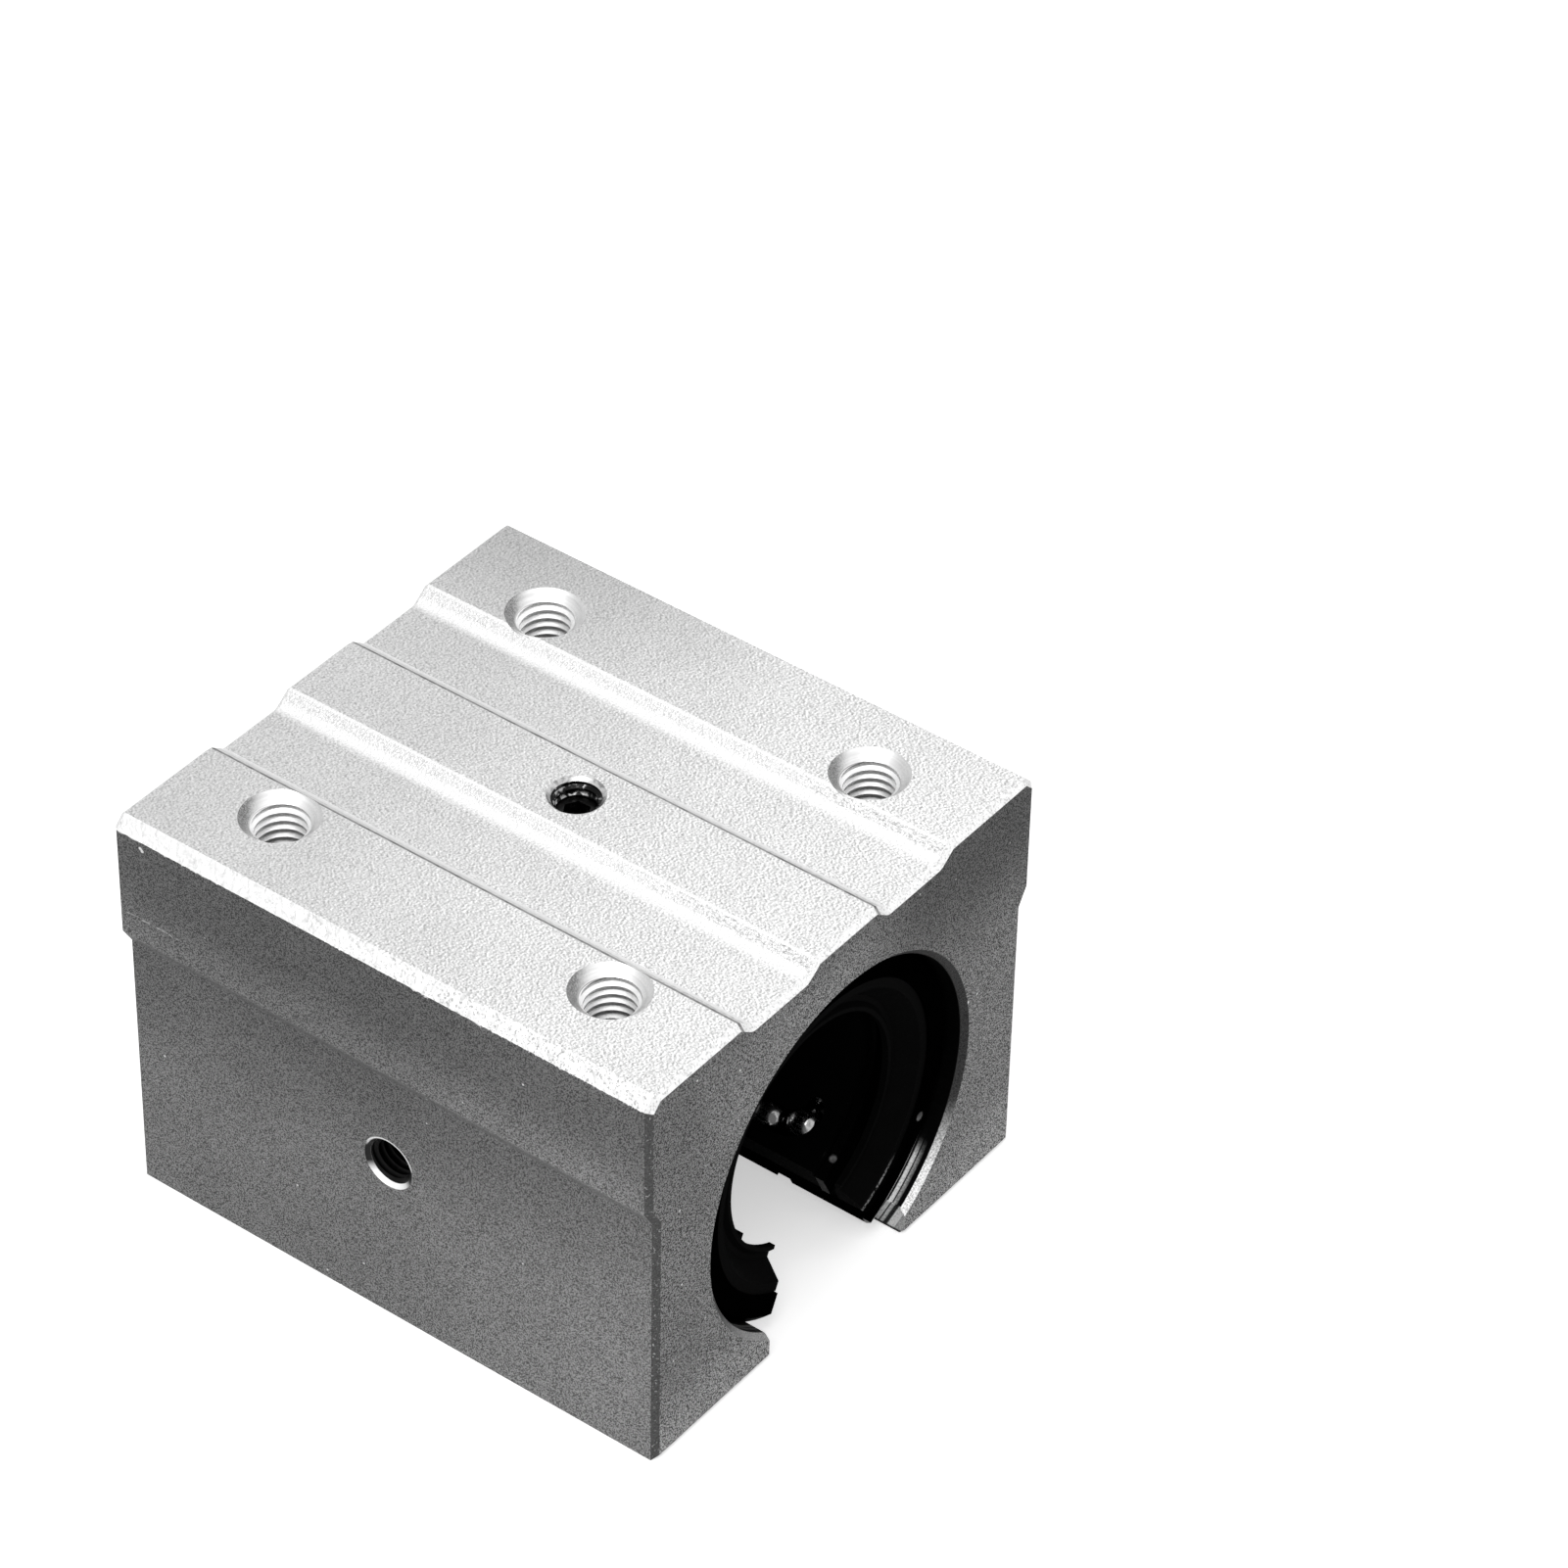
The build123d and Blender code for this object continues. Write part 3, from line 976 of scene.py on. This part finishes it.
@dataclass
class ThreadedHole:
    """Thread turns inside one hole, built about the hole's mouth and then put in place."""

    name: str
    kind: HoleKind
    mouth: "tuple[float, float, float]"
    mouth_radius: float
    first_depth: float
    last_depth: float
    pitch: float = 1.0
    outer_radius: float = 3.005
    inner_radius: float = 2.60
    root_share: float = 0.4375
    crest_share: float = 0.125
    steps_a_turn: int = 56

    def _section(self, mesh: bmesh.types.BMesh, start: float) -> "list[bmesh.types.BMEdge]":
        """Draws the section of one turn's ridge at the start of the helix.

        Args:
            mesh: the bmesh that gets it.
            start: height of the section's middle.

        Returns:
            The section's edges.
        """
        base, crest = self.root_share * self.pitch, self.crest_share * self.pitch
        outline = (
            (self.outer_radius, base),
            (self.inner_radius, crest),
            (self.inner_radius, -crest),
            (self.outer_radius, -base),
        )
        corners = [mesh.verts.new((radius, 0.0, start + up)) for radius, up in outline]
        return [mesh.edges.new((corners[i - 1], corners[i])) for i in range(len(corners))]

    def _turns(self, mesh: bmesh.types.BMesh) -> None:
        """Winds the ridge down the hole and trims it at both ends.

        Args:
            mesh: the bmesh that gets it.
        """
        start = self.pitch / 2 - self.first_depth
        turns = (self.last_depth - self.first_depth) / self.pitch + 1.5
        edges = self._section(mesh, start)
        steps = round(turns * self.steps_a_turn)
        bmesh.ops.spin(
            mesh,
            geom=edges + list(mesh.verts),
            cent=(0, 0, 0),
            axis=(0, 0, 1),
            dvec=(0, 0, -self.pitch / self.steps_a_turn),
            angle=math.tau * steps / self.steps_a_turn,
            steps=steps,
            use_merge=False,
            use_duplicate=False,
        )
        for depth, side in ((self.first_depth, 1), (self.last_depth, -1)):
            cut = bmesh.ops.bisect_plane(
                mesh,
                geom=list(mesh.verts) + list(mesh.edges) + list(mesh.faces),
                plane_co=(0, 0, -depth),
                plane_no=(0, 0, side),
                clear_outer=True,
            )
            rim = [item for item in cut["geom_cut"] if isinstance(item, bmesh.types.BMEdge)]
            bmesh.ops.holes_fill(mesh, edges=rim, sides=0)

    def _follow_mouth(self, mesh: bmesh.types.BMesh) -> None:
        """Cuts the first turns back to the cone of the hole's mouth.

        Args:
            mesh: the bmesh with the turns.
        """
        for corner in mesh.verts:
            radius = math.hypot(corner.co.x, corner.co.y)
            cone = min(self.mouth_radius + corner.co.z, self.outer_radius)
            if radius < cone:
                corner.co.x *= cone / radius
                corner.co.y *= cone / radius

    def _placed(self) -> Matrix:
        """Turn and place from the hole's own axis to the block, in metres."""
        tilt = math.radians(90 if self.kind is HoleKind.SIDE_LOCK else 0)
        return Matrix.Scale(MM, 4) @ Matrix.Translation(self.mouth) @ Matrix.Rotation(tilt, 4, "X")

    def build(self, material: bpy.types.Material) -> bpy.types.Object:
        """Makes the thread.

        Args:
            material: the finish of the cut metal.

        Returns:
            The finished piece.
        """
        mesh = bmesh.new()
        self._turns(mesh)
        self._follow_mouth(mesh)
        bmesh.ops.remove_doubles(mesh, verts=list(mesh.verts), dist=1e-5)
        bmesh.ops.recalc_face_normals(mesh, faces=list(mesh.faces))
        bmesh.ops.transform(mesh, matrix=self._placed(), verts=list(mesh.verts))
        data = bpy.data.meshes.new(self.name)
        mesh.to_mesh(data)
        mesh.free()
        piece = bpy.data.objects.new(self.name, data)
        bpy.context.scene.collection.objects.link(piece)
        data.materials.append(material)
        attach(piece, "root")
        return piece


@dataclass
class Housing:
    """The extruded block with its four mounting holes and two lock screw holes."""

    top: float = BLOCK.top
    side: float = BLOCK.side
    bore_height: float = BLOCK.bore_height
    hole_place: float = BLOCK.hole_place
    countersink_radius: float = BLOCK.countersink_radius
    hole_radius: float = 3.0
    hole_depth: float = 11.6
    lock_mouth_radius: float = BLOCK.lock_mouth_radius
    lock_radius: float = 2.5
    lock_pitch: float = 0.8
    lock_thread_depth: float = 0.37
    thread_bite: float = 0.005
    screw_top_depth: float = 1.97
    screw_side_depth: float = 3.77
    finish: BlastedAluminium = field(default_factory=BlastedAluminium)
    thread: CutThread = field(default_factory=CutThread)
    stained: StainedThread = field(default_factory=StainedThread)

    def mounting_holes(self) -> "list[ThreadedHole]":
        """Lists the threads of the four mounting holes.

        Returns:
            One entry for each hole.
        """
        corners = (("near_rear", -1, -1), ("near_front", 1, -1), ("far_front", 1, 1), ("far_rear", -1, 1))
        return [
            ThreadedHole(
                name=f"mounting_thread_{name}",
                kind=HoleKind.MOUNTING,
                mouth=(along * self.hole_place, across * self.hole_place, self.top),
                mouth_radius=self.countersink_radius,
                first_depth=self.countersink_radius - self.hole_radius,
                last_depth=self.hole_depth,
            )
            for name, along, across in corners
        ]

    def lock_holes(self) -> "list[ThreadedHole]":
        """Lists the threads above the two lock screws.

        Returns:
            One entry for each hole.
        """
        places = (
            (HoleKind.TOP_LOCK, (0.0, 0.0, self.top), self.screw_top_depth),
            (HoleKind.SIDE_LOCK, (0.0, -self.side, self.bore_height), self.screw_side_depth),
        )
        return [
            ThreadedHole(
                name=f"{kind.value}_lock_thread",
                kind=kind,
                mouth=mouth,
                mouth_radius=self.lock_mouth_radius,
                first_depth=self.lock_mouth_radius - self.lock_radius,
                last_depth=depth,
                pitch=self.lock_pitch,
                outer_radius=self.lock_radius + self.thread_bite,
                inner_radius=self.lock_radius - self.lock_thread_depth,
            )
            for kind, mouth, depth in places
        ]

    def build(self) -> "list[bpy.types.Object]":
        """Dresses the block and cuts its threads.

        Returns:
            The new pieces.
        """
        dress("housing", self.finish.build())
        bright, dark = self.thread.build(), self.stained.build()
        pieces = [hole.build(bright) for hole in self.mounting_holes()]
        return pieces + [hole.build(dark) for hole in self.lock_holes()]


@dataclass
class BallBush:
    """The open ball bush: sleeve, retainer, balls, side rings and seals."""

    circuits: int = 5

    def build(self) -> None:
        """Dresses each piece of the bush."""
        dress("bush_sleeve", HardenedSteel().build())
        dress("ball_retainer", GreasedPlastic().build())
        ball = PolishedBall().build()
        for number in range(1, self.circuits + 1):
            dress(f"ball_circuit_{number}", ball)
        ring = RolledSteel().build()
        rubber = OiledRubber().build()
        for end in ("front", "rear"):
            dress(f"side_ring_{end}", ring)
            dress(f"end_seal_{end}", rubber)


@dataclass
class LockScrews:
    """The two set screws that hold the bush."""

    def build(self) -> None:
        """Dresses both screws."""
        oxide = BlackOxide().build()
        for place in ("top", "side"):
            dress(f"{place}_set_screw", oxide)


@dataclass(frozen=True)
class Lamp:
    """One square soft light that faces the block: angles in degrees, lengths in metres."""

    name: str
    azimuth: float
    elevation: float
    distance: float
    size: float
    watts: float

    def hang(self) -> None:
        """Hangs the light."""
        data = bpy.data.lights.new(self.name, "AREA")
        data.size = self.size
        data.energy = self.watts
        light = bpy.data.objects.new(self.name, data)
        turn, rise = math.radians(self.azimuth), math.radians(self.elevation)
        level = math.cos(rise)
        away = Vector((math.cos(turn) * level, math.sin(turn) * level, math.sin(rise)))
        light.location = away * self.distance
        light.rotation_euler = away.to_track_quat("Z", "Y").to_euler()
        bpy.context.scene.collection.objects.link(light)


@dataclass
class Studio:
    """Floor, lights and camera."""

    floor_size: float = 6.0
    floor_tone: float = 0.92
    floor_glow: float = 0.52
    ambient: float = 0.50
    camera_place: "tuple[float, float, float]" = (0.287601, -0.357128, 0.429471)
    camera_turn: "tuple[float, float, float]" = (50.2768, -1.0476, 37.2454)
    lens: float = 143.647
    sensor_width: float = 36.0
    sight: "tuple[float, float]" = (0.01, 20.0)
    floor_drop: float = 0.00005
    lamps: "tuple[Lamp, ...]" = (
        Lamp("key", azimuth=-75, elevation=62, distance=1.1, size=0.7, watts=5.5),
        Lamp("fill", azimuth=70, elevation=50, distance=1.2, size=0.9, watts=1.5),
    )

    def camera(self) -> None:
        """Puts the camera where the photograph was taken."""
        data = bpy.data.cameras.new("camera")
        data.lens = self.lens
        data.sensor_width = self.sensor_width
        data.clip_start, data.clip_end = self.sight
        camera = bpy.data.objects.new("camera", data)
        camera.location = self.camera_place
        camera.rotation_euler = Euler([math.radians(angle) for angle in self.camera_turn])
        bpy.context.scene.collection.objects.link(camera)
        bpy.context.scene.camera = camera

    def floor(self) -> None:
        """Lays a pale floor that shows white to the camera and keeps the shadow."""
        mesh = bmesh.new()
        bmesh.ops.create_grid(mesh, x_segments=1, y_segments=1, size=self.floor_size / 2)
        data = bpy.data.meshes.new("floor")
        mesh.to_mesh(data)
        mesh.free()
        floor = bpy.data.objects.new("floor", data)
        floor.location = (0, 0, -self.floor_drop)
        bpy.context.scene.collection.objects.link(floor)
        material = bpy.data.materials.new("pale_floor")
        material.use_nodes = True
        tree = material.node_tree
        shader = tree.nodes["Principled BSDF"]
        shader.inputs["Base Color"].default_value = (self.floor_tone,) * 3 + (1,)
        shader.inputs["Roughness"].default_value = 0.9
        shader.inputs["Specular IOR Level"].default_value = 0.0
        shader.inputs["Emission Color"].default_value = (1, 1, 1, 1)
        path = tree.nodes.new("ShaderNodeLightPath")
        glow = tree.nodes.new("ShaderNodeMath")
        glow.operation = "MULTIPLY"
        glow.inputs[1].default_value = self.floor_glow
        tree.links.new(path.outputs["Is Camera Ray"], glow.inputs[0])
        tree.links.new(glow.outputs[0], shader.inputs["Emission Strength"])
        data.materials.append(material)

    def world(self) -> None:
        """White surroundings for the camera and for gloss, and a dimmer even light."""
        world = bpy.data.worlds.new("studio")
        bpy.context.scene.world = world
        world.use_nodes = True
        tree = world.node_tree
        background = tree.nodes["Background"]
        background.inputs["Color"].default_value = (1, 1, 1, 1)
        path = tree.nodes.new("ShaderNodeLightPath")
        seen = path.outputs["Is Camera Ray"]
        for name in ("Is Glossy Ray", "Is Transmission Ray"):
            either = tree.nodes.new("ShaderNodeMath")
            either.operation = "MAXIMUM"
            tree.links.new(seen, either.inputs[0])
            tree.links.new(path.outputs[name], either.inputs[1])
            seen = either.outputs[0]
        level = tree.nodes.new("ShaderNodeMapRange")
        level.inputs["To Min"].default_value = self.ambient
        level.inputs["To Max"].default_value = 1.0
        tree.links.new(seen, level.inputs["Value"])
        tree.links.new(level.outputs["Result"], background.inputs["Strength"])

    def build(self) -> None:
        """Sets up the studio."""
        scene = bpy.context.scene
        scene.view_settings.view_transform = "Standard"
        self.camera()
        self.floor()
        self.world()
        for lamp in self.lamps:
            lamp.hang()


def dress(node: str, material: bpy.types.Material) -> None:
    """Gives a carried-over CAD node its finish.

    Args:
        node: the node's name.
        material: the finish.
    """
    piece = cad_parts[node]
    if not piece.material_slots:
        piece.data.materials.append(material)
    for slot in piece.material_slots:
        slot.material = material
    LOG.info("dressed %s with %s", node, material.name)


def main() -> None:
    """Builds the scene."""
    logging.basicConfig(level=logging.INFO, format="%(name)s: %(message)s")
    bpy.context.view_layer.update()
    Studio().build()
    for piece in Housing().build():
        LOG.info("built %s, %d faces", piece.name, len(piece.data.polygons))
    BallBush().build()
    LockScrews().build()


if __name__ == "__main__":
    main()
